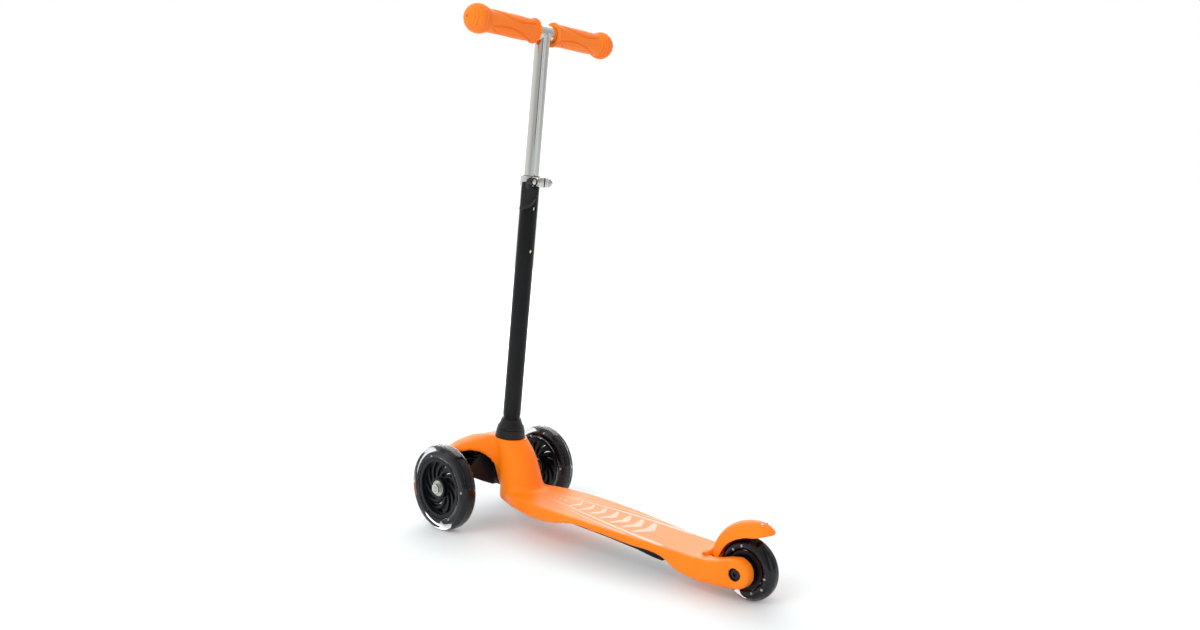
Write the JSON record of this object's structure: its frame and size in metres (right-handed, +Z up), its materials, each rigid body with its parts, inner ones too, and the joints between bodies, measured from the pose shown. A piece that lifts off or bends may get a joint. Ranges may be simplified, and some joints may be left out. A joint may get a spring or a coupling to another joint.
{
  "type": "three wheel kids scooter",
  "caption": "Lean to steer kick scooter with a T handlebar on a telescoping stem, an arched hood over the steering and a fender foot brake.",
  "frame": {"origin": "on the floor, below the middle of the object's outline seen from above", "axes": "+X forward, +Y to the rider's left, +Z up"},
  "size_m": [0.5466, 0.2658, 0.7082],
  "materials": {
    "orange_plastic": "moulded orange plastic with a soft sheen",
    "orange_rubber": "matte orange rubber",
    "black_plastic": "black moulded plastic",
    "black_paint": "black powder coat with a soft sheen",
    "tyre": "smooth smoke grey cast polyurethane",
    "chrome": "bright chrome plate",
    "steel": "plain zinc plated steel"
  },
  "bodies": {
    "deck": {"deck_shell": "orange_plastic", "underside_plate": "black_plastic", "lean_bolt": "steel", "steering_peg": "steel", "collar_ring": "black_plastic", "collar_cone": "black_plastic", "lower_tube": "black_paint", "stem_screw": "steel", "clamp_band": "steel", "clamp_bolt": "steel", "clamp_nut": "steel", "lever_pin": "steel", "rear_axle": "steel", "rear_axle_nut": "steel", "fender_pin": "steel", "fender_spring": "steel"},
    "carriage": {"carriage_beam": "black_plastic", "rear_lean_bush": "black_plastic", "front_lean_bush": "black_plastic", "left_centring_spring": "steel", "right_centring_spring": "steel"},
    "left_steering": {"left_knuckle": "black_plastic", "left_kingpin": "steel", "left_steering_arm": "steel", "left_tie_pin": "steel", "left_axle": "steel", "left_axle_nut": "steel"},
    "right_steering": {"right_knuckle": "black_plastic", "right_kingpin": "steel", "right_steering_arm": "steel", "right_tie_pin": "steel", "right_axle": "steel", "right_axle_nut": "steel"},
    "tie_rod": {"tie_rod": "steel"},
    "left_wheel": {"left_front_tyre": "tyre", "left_front_hub": "black_plastic", "left_front_bearing_left": "steel", "left_front_bearing_right": "steel", "left_front_spacer": "steel"},
    "right_wheel": {"right_front_tyre": "tyre", "right_front_hub": "black_plastic", "right_front_bearing_left": "steel", "right_front_bearing_right": "steel", "right_front_spacer": "steel"},
    "rear_wheel": {"rear_tyre": "tyre", "rear_hub": "black_plastic", "rear_bearing_left": "steel", "rear_bearing_right": "steel", "rear_spacer": "steel"},
    "bar": {"t_bar": "chrome", "left_grip": "orange_rubber", "right_grip": "orange_rubber", "snap_spring": "steel"},
    "button": {"snap_button": "steel"},
    "lever": {"clamp_lever": "black_plastic"},
    "fender": {"rear_fender": "orange_plastic", "brake_plate": "steel"}
  },
  "joints": [
    {"name": "lean", "type": "hinge", "parent": "deck", "child": "carriage", "pos_m": [0.21325, 0, 0.064], "axis": [1, 0, 0], "range_deg": [-8, 8], "stiffness_Nm_per_rad": 25, "deforming": ["left_centring_spring", "right_centring_spring"]},
    {"name": "left_steer", "type": "hinge", "parent": "carriage", "child": "left_steering", "pos_m": [0.21325, 0.066, 0.06], "axis": [0, 0, 1], "range_deg": [-12, 12]},
    {"name": "right_steer", "type": "hinge", "parent": "carriage", "child": "right_steering", "pos_m": [0.21325, -0.066, 0.06], "axis": [0, 0, 1], "range_deg": [-12, 12]},
    {"name": "tie_rod_pivot", "type": "hinge", "parent": "left_steering", "child": "tie_rod", "pos_m": [0.22998, 0.066, 0.0891], "axis": [0, 0, 1], "range_deg": [-12, 12]},
    {"name": "left_wheel_spin", "type": "hinge", "parent": "left_steering", "child": "left_wheel", "pos_m": [0.21325, 0.0955, 0.06], "axis": [0, 1, 0], "continuous": true},
    {"name": "right_wheel_spin", "type": "hinge", "parent": "right_steering", "child": "right_wheel", "pos_m": [0.21325, -0.0955, 0.06], "axis": [0, 1, 0], "continuous": true},
    {"name": "rear_wheel_spin", "type": "hinge", "parent": "deck", "child": "rear_wheel", "pos_m": [-0.23575, 0, 0.0375], "axis": [0, 1, 0], "continuous": true},
    {"name": "bar_height", "type": "slide", "parent": "deck", "child": "bar", "axis": [-0.0993, 0, 0.9951], "range_m": [-0.06, 0.06]},
    {"name": "button_press", "type": "slide", "parent": "bar", "child": "button", "axis": [0.9951, 0, 0.0993], "range_m": [0, 0.0025], "stiffness_N_per_m": 600, "deforming": ["snap_spring"]},
    {"name": "clamp_release", "type": "hinge", "parent": "deck", "child": "lever", "pos_m": [0.12554, 0.0167, 0.48849], "axis": [0.9951, 0, 0.0993], "range_deg": [0, 110]},
    {"name": "brake_press", "type": "hinge", "parent": "deck", "child": "fender", "pos_m": [-0.18365, 0, 0.044], "axis": [0, -1, 0], "range_deg": [0, 7], "stiffness_Nm_per_rad": 3, "deforming": ["fender_spring"]}
  ],
  "couplings": [
    {"joint": "left_steer", "follows": "lean", "ratio": 1.5},
    {"joint": "right_steer", "follows": "lean", "ratio": 1.5},
    {"joint": "tie_rod_pivot", "follows": "lean", "ratio": -1.5}
  ]
}
